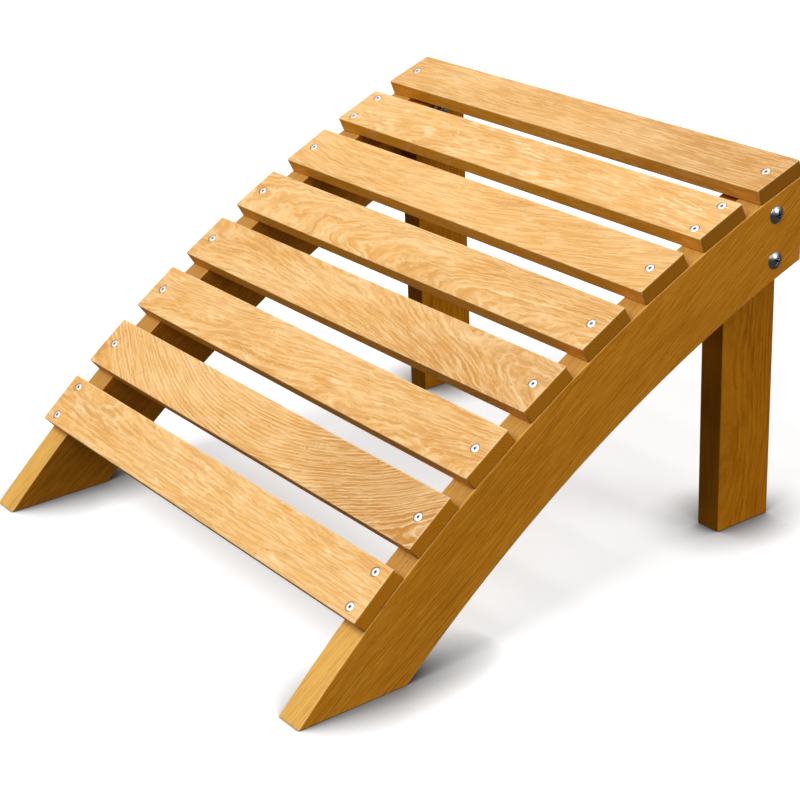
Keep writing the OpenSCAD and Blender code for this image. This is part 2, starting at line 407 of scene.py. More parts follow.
@dataclass
class GeometryTrees:
    """The trees that make the boards and set out the fixings.

    Attributes:
        corner_steps: The number of rows from the middle of a rounding to its end.
        support: How far the first row on the flat lies behind the rounding, in metres.
        painted_edge_rise: How fast the painted edge highlight rises from the flat to the middle of the
            rounding.
        seam_painted_shade: How much painted shade takes off the edge mark along the top of a rail.
        rail_share: The length of a rail's straight block as a share of the arc's radius.
        rail_rows: The number of rows along a rail.
        same_place: The distance within which two screws of a slat are one, in metres.
        board: The tree of a rounded board.
    """

    corner_steps: int = 2
    support: float = 0.6 * MM
    painted_edge_rise: float = 3.4
    seam_painted_shade: float = 0.5
    rail_share: float = 0.47
    rail_rows: int = 120
    same_place: float = 1.0 * MM
    board: bpy.types.NodeTree = field(init=False)

    def __post_init__(self) -> None:
        """Build the rounded board that the other trees share."""
        self.board = self.rounded_board()

    @staticmethod
    def start(name: str, inputs: Mapping[str, str]) -> Group:
        """Make an empty tree that puts out a shape."""
        return Group.start(name, "GeometryNodeTree", inputs, {"Geometry": "Geometry"})

    def rounded_board(self) -> bpy.types.NodeTree:
        """Build the tree for a board around the origin with all of its edges rounded.

        A block of small faces is spread out so that its outer rows fall on the rounding. Each point
        then goes to its place on a ball of the edge's radius that rolls inside the board.

        Returns:
            A tree with the inputs Size, Edge Radius, Pieces Along and Lower Mark, which is what the
            edges of the lower face are marked with: 1 for painted highlight, -1 for painted shade.
        """
        inputs = {"Vector": "Size", "Float": "Edge Radius, Lower Mark", "Int": "Pieces Along"}
        g = self.start("rounded_board", inputs)
        steps = float(self.corner_steps)
        rows = 2 * self.corner_steps + 4
        along = g["Pieces Along"] + float(rows - 1)
        feeds = {"Size": (1.0, 1.0, 1.0), "Vertices X": along, "Vertices Y": rows, "Vertices Z": rows}
        block = g.out("GeometryNodeMeshCube", feeds)
        radius = g["Edge Radius"]
        half = g.scaled(g["Size"], 0.5)
        position = g.out("GeometryNodeInputPosition")
        spread = []
        lasts = (along - 1.0, float(rows - 1), float(rows - 1))
        for place, reach, last in zip(g.parts(position), g.parts(half), lasts):
            count = g.math("ROUND", (place + 0.5) * last)
            from_end = g.math("MINIMUM", count, last - count)
            turn = g.math("DIVIDE", steps - from_end, steps, clamp=True)
            bulge = g.math("TANGENT", turn * math.radians(45)) * radius
            beyond = from_end - steps
            inner = g.math("MINIMUM", g.math("MAXIMUM", beyond, 0.0), 1.0) * self.support
            middle = last - 2.0 * (steps + 1)
            rows_in = g.math("MAXIMUM", beyond - 1.0, 0.0)
            share = rows_in * 2.0 / g.math("MAXIMUM", middle, 1.0)
            flat = reach - radius - inner
            spread.append((flat - flat * share + bulge) * g.math("SIGN", place))
        target = g.xyz(*spread)
        core = half - g.xyz(radius, radius, radius)
        held = g.vector("MAXIMUM", g.vector("MINIMUM", target, core), g.scaled(core, -1.0))
        direction = g.vector("NORMALIZE", target - held)
        x, y, z = g.parts(g.vector("ABSOLUTE", direction))
        square = g.math("MAXIMUM", g.math("MAXIMUM", x, y), z)
        # Painted highlight on the rounded edges, strongest at the middle of the rounding; the lower mark can
        # turn it to painted shade.
        worn = g.math("MULTIPLY", 1.0 - square, self.painted_edge_rise, clamp=True)
        upper = g.math("GREATER_THAN", g.parts(position)[2], 0.0)
        marked = self.marked(g, block, worn * g.between(upper, g["Lower Mark"], 1.0))
        g.give("Geometry", self.moved(g, marked, held + g.scaled(direction, radius)))
        return g.tree

    @staticmethod
    def marked(g: Group, geometry: Value, worn: Value) -> Value:
        """Write each point's mark for painted edge highlight and shade, such as how far round an edge it
        will lie, before the points move there.
        """
        feeds = {"Geometry": geometry, "Name": PAINTED_EDGE_MARK, "Value": worn}
        return g.out("GeometryNodeStoreNamedAttribute", feeds, data_type="FLOAT", domain="POINT")

    @staticmethod
    def moved(g: Group, geometry: Value, place: Value) -> Value:
        """Move each point to its place."""
        return g.out("GeometryNodeSetPosition", {"Geometry": geometry, "Position": place})

    def new_board(self, g: Group, size: Value, pieces: int = 1, lower_mark: float = 1.0) -> Value:
        """Place the rounded board in a tree.

        Args:
            g: The tree that is being written.
            size: The board's length, width and thickness.
            pieces: The number of rows along its length, for a board that bends.
            lower_mark: 1 where the lower edges take a painted highlight, -1 where they take painted shade.

        Returns:
            The board's geometry.
        """
        feeds = {"Size": size, "Edge Radius": g["Edge Radius"]}
        feeds |= {"Pieces Along": pieces, "Lower Mark": lower_mark}
        return g.out("GeometryNodeGroup", feeds, node_tree=self.board)

    @staticmethod
    def finish(g: Group, geometry: Value) -> bpy.types.NodeTree:
        """End a tree with real geometry in the given material."""
        real = g.out("GeometryNodeRealizeInstances", {"Geometry": geometry})
        g.give("Geometry", g.out("GeometryNodeSetMaterial", {"Geometry": real, "Material": g["Material"]}))
        return g.tree

    @staticmethod
    def of_pair(g: Group, index: Value) -> Value:
        """Return -1 for an even number and 1 for an odd one."""
        return g.math("MODULO", index, 2.0) * 2.0 - 1.0

    def slat(self) -> bpy.types.NodeTree:
        """Build the tree for one slat: a rounded board with a countersunk hole for each screw."""
        inputs = {
            "Float": "Length, Width, Thickness, Edge Radius, Slope, Screw Spread, Twin Spacing",
            "Vector": "Middle",
            "Object": "Cutter",
            "Material": "Material",
        }
        g = self.start("slat", inputs)
        # The slat's lower edges take painted shade.
        board = self.new_board(g, g.xyz(g["Length"], g["Width"], g["Thickness"]), lower_mark=-1.0)
        line = g.out("GeometryNodeMeshLine", {"Count": 4}, mode="OFFSET")
        index = g.out("GeometryNodeInputIndex")
        twin = g.math("FLOOR", index / 2.0) * 2.0 - 1.0
        x = self.of_pair(g, index) * (g["Screw Spread"] * 0.5)
        y = twin * (g["Twin Spacing"] * 0.5)
        points = self.moved(g, line, g.xyz(x, y, g["Thickness"] * 0.5))
        merged = g.out("GeometryNodeMergeByDistance", {"Geometry": points, "Distance": self.same_place})
        cutter = g.out("GeometryNodeObjectInfo", {"Object": g["Cutter"]}, "Geometry")
        cutters = g.out("GeometryNodeInstanceOnPoints", {"Points": merged, "Instance": cutter})
        real = g.out("GeometryNodeRealizeInstances", {"Geometry": cutters})
        way = {"operation": "DIFFERENCE", "solver": "EXACT"}
        drilled = g.out("GeometryNodeMeshBoolean", {0: board, 1: real}, **way)
        feeds = {"Geometry": drilled, "Translation": g["Middle"], "Rotation": g.xyz(g["Slope"], 0.0, 0.0)}
        return self.finish(g, g.out("GeometryNodeTransform", feeds))

    def rail(self) -> bpy.types.NodeTree:
        """Build the tree for a side rail: a rounded board laid along an arc.

        The board's length runs from the level cut at the toe to the plumb cut at the back, and its
        width is measured square to the arc. Under each slat the top edge is planed to a flat. From
        the first slat back, the top edge takes painted shade, between and under the slats, instead
        of the painted highlight.
        """
        inputs = {
            "Float": "Thickness, Depth, Edge Radius, Middle X, Arc Y, Arc Z, Arc Radius, Back Y, "
            "Seat Radius, Seat Width, First Slope, Slope Step, Last Slat",
            "Material": "Material",
        }
        g = self.start("rail", inputs)
        length = g["Arc Radius"] * self.rail_share
        board = self.new_board(g, g.xyz(length, g["Depth"], g["Thickness"]), self.rail_rows)
        x, y, z = g.parts(g.out("GeometryNodeInputPosition"))
        radius = g["Arc Radius"] - g["Depth"] * 0.5 + y
        toe = g.math("ARCCOSINE", g["Arc Z"] * -1.0 / radius)
        back = g.math("ARCSINE", (g["Arc Y"] - g["Back Y"]) / radius)
        angle = g.between(x / length + 0.5, toe, back)
        ahead = (g["First Slope"] - angle) / g["Slope Step"]
        nearest = g.math("MINIMUM", g.math("MAXIMUM", g.math("ROUND", ahead), 0.0), g["Last Slat"])
        aside = angle - (g["First Slope"] - nearest * g["Slope Step"])
        under = g.math("LESS_THAN", g.math("ABSOLUTE", aside) * g["Seat Radius"], g["Seat Width"] * 0.5)
        seat = g["Seat Radius"] / g.math("COSINE", aside)
        planed = g.between(under, radius, g.math("MINIMUM", radius, seat))
        front = g["First Slope"] + g["Seat Width"] * 0.5 / g["Seat Radius"]
        top = g["Depth"] * 0.5 - g["Edge Radius"]
        # Painted shade on the rail's top edge from the first slat back, between and under the slats.
        behind = g.math("LESS_THAN", angle, front) * g.math("GREATER_THAN", y, top)
        worn = g.out("GeometryNodeInputNamedAttribute", {"Name": PAINTED_EDGE_MARK}, data_type="FLOAT")
        board = self.marked(g, board, worn - behind * self.seam_painted_shade)
        level = g["Arc Y"] - planed * g.math("SINE", angle)
        height = g["Arc Z"] + planed * g.math("COSINE", angle)
        return self.finish(g, self.moved(g, board, g.xyz(z + g["Middle X"], level, height)))

    def leg(self) -> bpy.types.NodeTree:
        """Build the tree for a leg: an upright rounded board with a sloping top."""
        inputs = {
            "Float": "Height, Width, Thickness, Edge Radius, Top Rise",
            "Vector": "Foot",
            "Material": "Material",
        }
        g = self.start("leg", inputs)
        board = self.new_board(g, g.xyz(g["Height"], g["Thickness"], g["Width"]))
        x, y, z = g.parts(g.out("GeometryNodeInputPosition"))
        height = x + g["Height"] * 0.5
        rise = z * g["Top Rise"] / g["Height"]
        return self.finish(g, self.moved(g, board, g.xyz(y, z, height * (rise + 1.0)) + g["Foot"]))

    def screw_row(self) -> bpy.types.NodeTree:
        """Build the tree that sets one screw, or two on the twin slats, at one end of every slat.

        The line has two points for each slat. The second is left out where a slat has one screw.
        """
        inputs = {
            "Float": "Row X, Arc Y, Arc Z, Head Radius, First Slope, Slope Step, Twin Spacing, "
            "First Twin, Second Twin",
            "Int": "Slats, Seed",
            "Object": "Part",
            "Material": "Material",
        }
        g = self.start("screw_row", inputs)
        line = g.out("GeometryNodeMeshLine", {"Count": g["Slats"] * 2.0}, mode="OFFSET")
        index = g.out("GeometryNodeInputIndex")
        slat = g.math("FLOOR", (index + 0.25) / 2.0)
        half = self.of_pair(g, index)
        first, second = (g.math("COMPARE", slat, g[name], 0.1) for name in ("First Twin", "Second Twin"))
        twin = g.math("MAXIMUM", first, second)
        aside = half * twin * (g["Twin Spacing"] * 0.5)
        slope = g["First Slope"] - slat * g["Slope Step"]
        sin, cos = g.math("SINE", slope), g.math("COSINE", slope)
        level = g["Head Radius"]
        y = g["Arc Y"] - level * sin + aside * cos
        z = g["Arc Z"] + level * cos + aside * sin
        points = self.moved(g, line, g.xyz(g["Row X"], y, z))
        spare = g.math("GREATER_THAN", (1.0 - twin) * g.math("GREATER_THAN", half, 0.0), 0.5)
        kept = g.out("GeometryNodeDeleteGeometry", {"Geometry": points, "Selection": spare}, domain="POINT")
        return self.set_out(g, kept, g.xyz(slope, 0.0, 0.0))

    def bolt_pair(self) -> bpy.types.NodeTree:
        """Build the tree that sets a part on the axis of each of a leg's two bolts."""
        inputs = {
            "Float": "Spacing, Side",
            "Vector": "Face",
            "Int": "Seed",
            "Object": "Part",
            "Material": "Material",
        }
        g = self.start("bolt_pair", inputs)
        low = g["Face"] - g.xyz(0.0, 0.0, g["Spacing"] * 0.5)
        feeds = {"Count": 2, "Start Location": low, "Offset": g.xyz(0.0, 0.0, g["Spacing"])}
        line = g.out("GeometryNodeMeshLine", feeds, mode="OFFSET")
        return self.set_out(g, line, g.xyz(0.0, g["Side"] * math.radians(90), 0.0))

    def set_out(self, g: Group, points: Value, turn: Value) -> bpy.types.NodeTree:
        """End a tree with the given part at each point, each turned by chance on its own axis."""
        part = g.out("GeometryNodeObjectInfo", {"Object": g["Part"]}, "Geometry")
        feeds = {"Points": points, "Instance": part, "Rotation": turn}
        standing = g.out("GeometryNodeInstanceOnPoints", feeds)
        chance = g.out("FunctionNodeRandomValue", {"Max": math.tau, "Seed": g["Seed"]}, data_type="FLOAT")
        feeds = {"Instances": standing, "Rotation": g.xyz(0.0, 0.0, chance), "Local Space": True}
        return self.finish(g, g.out("GeometryNodeRotateInstances", feeds))


# ---------------------------------------------------------------- finishes


@dataclass(frozen=True)
class Lie:
    """How a board lies in the footstool: a point in it, the way its grain runs and its face."""

    middle: Vector
    grain: Vector
    face: Vector

    def turn(self) -> Euler:
        """Return the rotation from the board's own axes, grain first and face last, to the footstool's."""
        across = self.face.cross(self.grain)
        return Matrix((self.grain, across, self.face)).transposed().to_euler()


@dataclass(frozen=True)
class WoodTones:
    """The colours of one kind of board under its clear finish, in linear light.

    The broad faces take the body colour. The narrow faces and the ends drink the finish differently.
    """

    body: Triple
    dark: Triple
    pale: Triple
    narrow: Triple
    end: Triple
    # The colour of the painted highlight on the rounded edges.
    worn: Triple


HONEY = WoodTones(
    body=(0.85, 0.460, 0.138),
    dark=(0.46, 0.185, 0.028),
    pale=(1.00, 0.775, 0.450),
    narrow=(0.76, 0.325, 0.004),
    end=(0.71, 0.258, 0.008),
    worn=(1.00, 0.760, 0.400),
)
AMBER = WoodTones(
    body=(0.77, 0.280, 0.012),
    dark=(0.35, 0.100, 0.001),
    pale=(0.96, 0.440, 0.040),
    narrow=(0.76, 0.430, 0.100),
    end=(0.90, 0.520, 0.170),
    worn=(0.95, 0.600, 0.210),
)
BROWN = WoodTones(
    body=(0.61, 0.200, 0.002),
    dark=(0.20, 0.050, 0.000),
    pale=(0.76, 0.300, 0.010),
    narrow=(0.34, 0.118, 0.000),
    end=(0.40, 0.130, 0.002),
    worn=(0.74, 0.340, 0.030),
)


@dataclass
class WoodGroups:
    """The shader groups that every board's finish shares.

    Breaks, fibres, curls and flecks are counts per metre in three directions. Stretch is how much
    finer the other patterns are across the grain than along it. A ring's dark and pale bands say
    where in the ring each starts, is full, starts to fade and ends.
    """

    stretch: Triple = (1.0, 2.0, 2.0)
    breaks: Triple = (40.0, 120.0, 120.0)
    fibres: Triple = (32.0, 640.0, 30.0)
    curls: Triple = (18.0, 210.0, 22.0)
    flecks: Triple = (190.0, 800.0, 800.0)
    seed_shift: float = 1.7
    wander_reach: float = 4.0
    ripple_reach: float = 0.0019
    ring_unevenness: float = 1.6
    late_band: tuple[float, ...] = (0.6, 0.86, 0.88, 1.0)
    early_band: tuple[float, ...] = (0.0, 0.08, 0.1, 0.42)
    curl_folds: float = 5.5
    facing_band: tuple[float, float] = (0.6, 0.8)
    tone_share: float = 0.3
    pale_fibre: float = 0.62
    dark_fibre: float = 0.5
    narrow_rings: float = 0.45
    broad_rings: float = 0.62
    pale_rings: float = 0.45
    fleck_share: float = 0.55
    painted_shade_share: float = 0.8
    roughness: float = 0.40
    figure: bpy.types.NodeTree = field(init=False)
    stain: bpy.types.NodeTree = field(init=False)

    def __post_init__(self) -> None:
        """Build both groups."""
        self.figure = self.growth_figure()
        self.stain = self.stained()

    def growth_figure(self) -> bpy.types.NodeTree:
        """Build the group that cuts growth rings, fibres, wisps and flecks through a board.

        The rings lie around a pith line that runs beside the board and leans along it or bows, so a
        flat face shows arches, an edge shows lines and an end shows arcs. Deep says how dark the
        board is at each place along it; on the legs it is painted shade, darker toward the top.
        """
        inputs = {
            "Vector": "Vector",
            "Float": "Ring Spacing, Pith Across, Pith Depth, Lean Across, Lean Through, Bow, Deep Start, "
            "Deep End, Wander, Wander Scale, Seed",
        }
        g = Group.start("growth_figure", "ShaderNodeTree", inputs, {"Float": ", ".join(MASKS)})
        own = g["Vector"] + g.xyz(g["Seed"] * self.seed_shift, 0.0, 0.0)
        x, y, z = g.parts(g["Vector"])
        bent = g.noise(own * (1.0, 2.2, 2.2), g["Wander Scale"], 2.0, 0.45)
        ripple = g.noise(own * self.stretch, 120.0, 3.0, 0.55)
        across = y - g["Pith Across"] - x * g["Lean Across"] - x * x * g["Bow"]
        depth = z + g["Pith Depth"] - x * g["Lean Through"]
        away = g.vector("LENGTH", g.xyz(0.0, across, depth))
        away = away + (bent - 0.5) * (g["Wander"] * self.wander_reach)
        away = away + (ripple - 0.5) * self.ripple_reach
        uneven = g.noise(g.xyz(away, g["Seed"], 0.0), 160.0, 1.0, 0.5)
        count = away / g["Ring Spacing"] + uneven * self.ring_unevenness
        ring = g.math("FRACT", count)
        chance = g.out("ShaderNodeTexWhiteNoise", {"W": g.math("FLOOR", count)}, noise_dimensions="1D")
        weight = g.between(chance, 0.3, 1.0)
        late, early = (
            g.ramp(ring, band[0], band[1]) * (1.0 - g.ramp(ring, band[2], band[3]))
            for band in (self.late_band, self.early_band)
        )
        patch = g.noise(own * self.stretch, 17.0, 2.0, 0.5)
        near = g.ramp(patch, 0.4, 0.6)
        broken = g.between(g.noise(own * self.breaks, 1.0, 2.0, 0.5), 0.1, 1.5)
        g.give("Dark", late * broken * g.between(near, 1.0, 0.6) * weight)
        g.give("Pale", early * weight)
        along = g.parts(own)[0]
        streaks, curl = (
            g.noise(g.xyz(along * counts[0], away * counts[1], y * counts[2]), 1.0, detail, rough)
            for counts, detail, rough in ((self.fibres, 4.0, 0.66), (self.curls, 2.0, 0.45))
        )
        g.give("Fibre", g.ramp(streaks, 0.38, 0.62))
        crest = g.math("ABSOLUTE", g.math("FRACT", curl * self.curl_folds) - 0.5)
        hair = 1.0 - g.ramp(crest, 0.0, 0.24)
        g.give("Wisp", hair * g.ramp(g.noise(own * self.stretch, 36.0, 2.0, 0.5), 0.38, 0.66))
        place = x + (patch - 0.5) * 0.15
        g.give("Deep", g.between(g.ramp(place, -0.02, 0.18), g["Deep Start"], g["Deep End"]))
        fleck = g.noise(own * self.flecks, 1.0, 0.0, 0.5)
        sparse = g.ramp(g.noise(own, 70.0, 1.0, 0.5), 0.52, 0.64)
        g.give("Fleck", g.ramp(fleck, 0.74, 0.8) * sparse)
        g.give("Tone", g.ramp(g.noise(own * (1.0, 3.5, 3.5), 7.0, 2.0, 0.5), 0.3, 0.7))
        return g.tree

    def stained(self) -> bpy.types.NodeTree:
        """Build the group that colours a board: its figure, its end grain and the painted highlight and
        painted shade on its edges.
        """
        inputs = {
            "Float": ", ".join(MASKS) + ", Worn, Veins, Wisps",
            "Color": ", ".join(tone + " Colour" for tone in TONES),
            "Vector": "Grain, Face",
        }
        g = Group.start("stained", "ShaderNodeTree", inputs, SURFACE)
        normal = g.out("ShaderNodeNewGeometry", output="Normal")
        end, broad = (
            g.ramp(g.math("ABSOLUTE", g.vector("DOT_PRODUCT", normal, g[way])), *self.facing_band)
            for way in ("Grain", "Face")
        )
        soft_pale = g.blend(0.3, g["Narrow Colour"], g["Pale Colour"])
        pale = g.blend(broad, soft_pale, g["Pale Colour"])
        dark = g["Dark Colour"]
        colour = g.blend(broad, g["Narrow Colour"], g["Body Colour"])
        colour = g.blend(g["Deep"], colour, dark)
        tone = (g["Tone"] - 0.5) * self.tone_share
        colour = g.blend(g.math("MAXIMUM", tone, 0.0), colour, pale)
        colour = g.blend(g.math("MAXIMUM", tone * -1.0, 0.0), colour, dark)
        fibre = g["Fibre"] - 0.5
        colour = g.blend(g.math("MAXIMUM", fibre, 0.0) * self.pale_fibre, colour, pale)
        colour = g.blend(g.math("MAXIMUM", fibre * -1.0, 0.0) * self.dark_fibre, colour, dark)
        strength = g["Veins"] * g.between(broad, self.narrow_rings, self.broad_rings)
        colour = g.blend(g.math("MULTIPLY", g["Dark"], strength, clamp=True), colour, dark)
        colour = g.blend(g["Pale"] * (g["Veins"] * self.pale_rings), colour, pale)
        colour = g.blend(g.math("MULTIPLY", g["Wisp"], g["Wisps"], clamp=True), colour, pale)
        colour = g.blend(end, colour, g.blend(g["Dark"] * 0.5, g["End Colour"], dark, "MULTIPLY"))
        colour = g.blend(g["Fleck"] * self.fleck_share, colour, g.scaled(dark, 0.6))
        # Painted highlight on the rounded edges, and painted shade on the marked lower edges and on the
        # rails between the slats.
        edge_highlight = g.math("MAXIMUM", g["Worn"], 0.0)
        edge_shade = g.math("MAXIMUM", g["Worn"] * -1.0, 0.0)
        colour = g.blend(edge_highlight * g.between(g["Fibre"], 0.5, 1.0), colour, g["Worn Colour"])
        g.give("Colour", g.blend(edge_shade * self.painted_shade_share, colour, g.scaled(dark, 0.5)))
        rough = self.roughness + g["Dark"] * 0.1 + g["Fibre"] * 0.14 + end * 0.14
        g.give("Roughness", rough - edge_highlight * 0.08)
        g.give("Height", g["Fibre"] * 0.5 + g["Dark"] * 0.5 - g["Fleck"] * 0.8)
        return g.tree


@dataclass(frozen=True)
class WoodFinish:
    """The clear-finished wood of one board: its tones and how it was cut from the log.

    The ring spacing, the pith's place, the wander and the bump are in millimetres.
    """

    tones: WoodTones
    ring_spacing: float
    pith_across: float
    pith_depth: float
    lean_across: float
    lean_through: float
    wander: float
    wander_scale: float
    seed: float
    veins: float
    wisps: float
    # Painted shade on the end grain: the ends of the slats further back are darker.
    end_painted_shade: float = 1.0
    deep: tuple[float, float] = (0.0, 0.0)
    bow: float = 0.0
    gloss: float = 0.16
    bump: float = 0.12
    bump_strength: float = 0.6

    def material(self, name: str, lie: Lie, groups: WoodGroups) -> bpy.types.Material:
        """Make the board's material.

        Args:
            name: The material's name.
            lie: How the board lies.
            groups: The shared shader groups.

        Returns:
            The material, which follows the board's own grain.
        """
        made = bpy.data.materials.new(name)
        g = new_tree(made)
        where = g.out("ShaderNodeTexCoord", output="Object")
        feeds = {"Vector": where, "Location": lie.middle, "Rotation": lie.turn()}
        cut = {
            "Vector": g.out("ShaderNodeMapping", feeds, vector_type="TEXTURE"),
            "Ring Spacing": self.ring_spacing * MM,
            "Pith Across": self.pith_across * MM,
            "Pith Depth": self.pith_depth * MM,
            "Lean Across": self.lean_across,
            "Lean Through": self.lean_through,
            "Bow": self.bow,
            "Deep Start": self.deep[0],
            "Deep End": self.deep[1],
            "Wander": self.wander * MM,
            "Wander Scale": self.wander_scale,
            "Seed": self.seed,
        }
        feeds = g.answers("ShaderNodeGroup", cut, node_tree=groups.figure)
        # The mark for painted edge highlight and painted shade.
        feeds["Worn"] = g.out("ShaderNodeAttribute", output="Fac", attribute_name=PAINTED_EDGE_MARK)
        feeds |= {"Grain": lie.grain, "Face": lie.face, "Veins": self.veins, "Wisps": self.wisps}
        for tone in TONES:
            # The end colour carries the painted shade of the end grain.
            shade = self.end_painted_shade if tone == "End" else 1.0
            feeds[tone + " Colour"] = opaque(part * shade for part in getattr(self.tones, tone.lower()))
        look = g.surface(groups.stain, feeds, self.bump * MM, self.bump_strength)
        g.shade(look | {"Specular IOR Level": self.gloss})
        return made


def zinc_plating() -> bpy.types.NodeTree:
    """Build the group for plated steel: cloudy spangle, fine handling marks and painted shade in recesses.
    """
    inputs = {"Vector": "Vector", "Color": "Bright Colour, Dull Colour", "Float": "Polish, Shaded"}
    g = Group.start("zinc_plating", "ShaderNodeTree", inputs, SURFACE)
    where = g["Vector"]
    cloud = g.noise(where, 420.0, 3.0, 0.6)
    cells = g.out("ShaderNodeTexVoronoi", {"Vector": where, "Scale": 900.0}, "Distance", feature="F1")
    marks = g.noise(where * (700.0, 2600.0, 700.0), 1.0, 2.0, 0.6)
    dull = g.ramp(cloud, 0.4, 0.7) * g.between(cells, 0.5, 1.0)
    # Painted shade: the shaded rings of a fixing turn near black.
    recess_shade = g["Shaded"] * 0.93
    g.give("Colour", g.blend(recess_shade, g.blend(dull, g["Bright Colour"], g["Dull Colour"]), opaque(RECESS_SHADE)))
    g.give("Roughness", g["Polish"] + dull * 0.18 + recess_shade * 0.3 + marks * 0.1)
    g.give("Height", cloud * 0.6 + marks * 0.4)
    return g.tree


@dataclass(frozen=True)
class MetalFinish:
    """Plated steel of one brightness, with its bump in millimetres."""

    bright: Triple
    dull: Triple
    polish: float
    metallic: float = 1.0
    bump: float = 0.03
    bump_strength: float = 0.5

    def material(self, name: str, plating: bpy.types.NodeTree) -> bpy.types.Material:
        """Make the metal's material.

        Args:
            name: The material's name.
            plating: The shared shader group.

        Returns:
            The material.
        """
        made = bpy.data.materials.new(name)
        g = new_tree(made)
        feeds = {
            "Vector": g.out("ShaderNodeTexCoord", output="Object"),
            "Bright Colour": opaque(self.bright),
            "Dull Colour": opaque(self.dull),
            "Polish": self.polish,
            "Shaded": g.out("ShaderNodeAttribute", output="Fac", attribute_name=SHADED),
        }
        look = g.surface(plating, feeds, self.bump * MM, self.bump_strength)
        g.shade(look | {"Metallic": self.metallic})
        return made


BRIGHT_ZINC = MetalFinish((0.84, 0.85, 0.87), (0.60, 0.61, 0.64), polish=0.28, metallic=0.9)
DARK_ZINC = MetalFinish((0.46, 0.48, 0.52), (0.20, 0.21, 0.24), polish=0.17)
WASHER_ZINC = MetalFinish((0.62, 0.64, 0.68), (0.40, 0.42, 0.46), polish=0.30)
NUT_ZINC = MetalFinish((0.56, 0.58, 0.62), (0.34, 0.36, 0.40), polish=0.27)


# ---------------------------------------------------------------- the footstool


@dataclass
class RailCurve:
    """The arc that both rails follow and the slats lie on, in metres, in the footstool's frame."""

    radius: float = 1.315
    rise: float = 0.316
    slats: int = 8
    first_slat: float = 0.1125
    slat_width: float = 0.050
    seat_depth: float = 0.0003
    toe_y: float = field(init=False)
    back_y: float = field(init=False)
    centre_y: float = field(init=False)
    centre_z: float = field(init=False)

    def __post_init__(self) -> None:
        """Work out the arc's centre from the frame's own rail and the sizes above."""
        low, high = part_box("rail_right")
        self.toe_y, self.back_y = low.y, high.y
        run = high.y - low.y
        chord = math.hypot(run, self.rise)
        arm = math.sqrt(self.radius**2 - chord**2 / 4)
        self.centre_y = low.y + run / 2 + arm * self.rise / chord
        self.centre_z = self.rise / 2 - arm * run / chord

    @property
    def seat_radius(self) -> float:
        """The distance from the arc's centre to the middle of a slat's seat."""
        return self.radius - self.seat_depth

    @property
    def first_slope(self) -> float:
        """The slope of the first slat."""
        return math.atan2(self.centre_y - self.toe_y, -self.centre_z) - self.first_slat / self.radius

    @property
    def last_slope(self) -> float:
        """The slope of the last slat, whose lower rear corner is flush with the rails' back."""
        half = self.slat_width / 2
        lean = math.asin((self.centre_y - self.back_y) / math.hypot(self.seat_radius, half))
        return lean + math.atan2(half, self.seat_radius)

    @property
    def slope_step(self) -> float:
        """The change of slope from one slat to the next."""
        return (self.first_slope - self.last_slope) / (self.slats - 1)

    def slope(self, number: int) -> float:
        """Return the slope of a slat, counted from 0 at the front."""
        return self.first_slope - number * self.slope_step

    def point(self, slope: float, radius: float) -> Vector:
        """Return the point above the arc's centre at this slope and radius."""
        y = self.centre_y - radius * math.sin(slope)
        return Vector((0.0, y, self.centre_z + radius * math.cos(slope)))

    def chord(self) -> Vector:
        """Return the direction from the toe to the top of the back."""
        return Vector((0.0, self.back_y - self.toe_y, self.rise)).normalized()

    def inputs(self) -> dict[str, Any]:
        """Return what the trees of the rails and of the screws both need to know of the arc."""
        return {
            "Arc Y": self.centre_y,
            "Arc Z": self.centre_z,
            "First Slope": self.first_slope,
            "Slope Step": self.slope_step,
        }


def settle_in(piece: bpy.types.Object, node: str, slot: str) -> None:
    """Hand a finished piece to the frame in place of its node."""
    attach(piece, ROOT)
    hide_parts(node)
    LOG.info("%s: %d faces in place of %s", piece.name, len(piece.data.polygons), node)


@dataclass
class Rails:
    """The two side rails, sawn to a curve from one wide board each."""

    curve: RailCurve
    trees: GeometryTrees
    groups: WoodGroups
    thickness: float = 0.027
    depth: float = 0.069
    edge: float = 0.0012
    grain_tilt: float = math.radians(4.0)

    def finish(self, side: Side) -> WoodFinish:
        """Return the finish of one rail."""
        right = side is Side.RIGHT
        return WoodFinish(
            AMBER,
            ring_spacing=2.4 if right else 2.3,
            pith_across=130.0 if right else 115.0,
            pith_depth=70.0 if right else 75.0,
            lean_across=0.03 if right else 0.02,
            lean_through=0.05 if right else 0.04,
            wander=2.6,
            wander_scale=5.0,
            seed=11.3 if right else 14.9,
            veins=1.15,
            wisps=0.2,
        )

    def build(self) -> None:
        """Build and dress both rails."""
        tree = self.trees.rail()
        chord = self.curve.chord()
        tilted = math.atan2(chord.z, chord.y) + self.grain_tilt
        grain = Vector((0.0, math.cos(tilted), math.sin(tilted)))
        for side in Side:
            node = "rail_" + side.word
            low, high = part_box(node)
            lie = Lie((low + high) / 2, grain, Vector((1.0, 0.0, 0.0)))
            wood = self.finish(side).material("rail_wood_" + side.word, lie, self.groups)
            values = self.curve.inputs() | {
                "Thickness": self.thickness,
                "Depth": self.depth,
                "Edge Radius": self.edge,
                "Middle X": (low.x + high.x) / 2,
                "Arc Radius": self.curve.radius,
                "Back Y": self.curve.back_y,
                "Seat Radius": self.curve.seat_radius,
                "Seat Width": self.curve.slat_width,
                "Last Slat": float(self.curve.slats - 1),
                "Material": wood,
            }
            settle_in(settled("rail_board_" + side.word, tree, values), node, "rail_wood")


